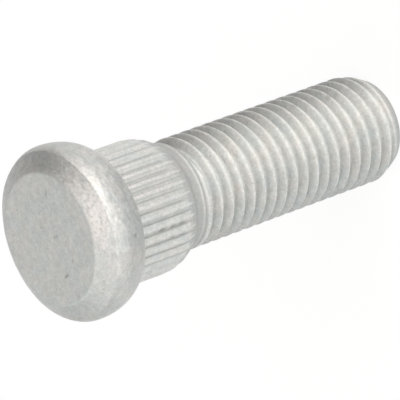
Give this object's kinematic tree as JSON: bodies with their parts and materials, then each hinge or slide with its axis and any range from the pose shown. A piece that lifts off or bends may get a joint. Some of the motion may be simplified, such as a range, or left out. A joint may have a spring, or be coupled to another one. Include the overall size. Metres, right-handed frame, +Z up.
{
  "type": "wheel stud",
  "caption": "Press-in wheel stud with a round chamfered head, a straight-knurled collar with a rounded shoulder, and a right-hand thread with a chamfered end.",
  "frame": {"origin": "centre of the threaded end's flat face, on which the stud stands", "axes": "+Z up the stud's axis from the threaded end to the head's flat face; +X and +Y are square to it"},
  "size_m": [0.0186, 0.0186, 0.0447],
  "materials": {
    "zinc_flake_steel": "matte pale grey zinc-flake coating, lightly rubbed on the head's edge and the thread crests"
  },
  "bodies": {
    "root": {"wheel_stud": "zinc_flake_steel"}
  },
  "joints": []
}
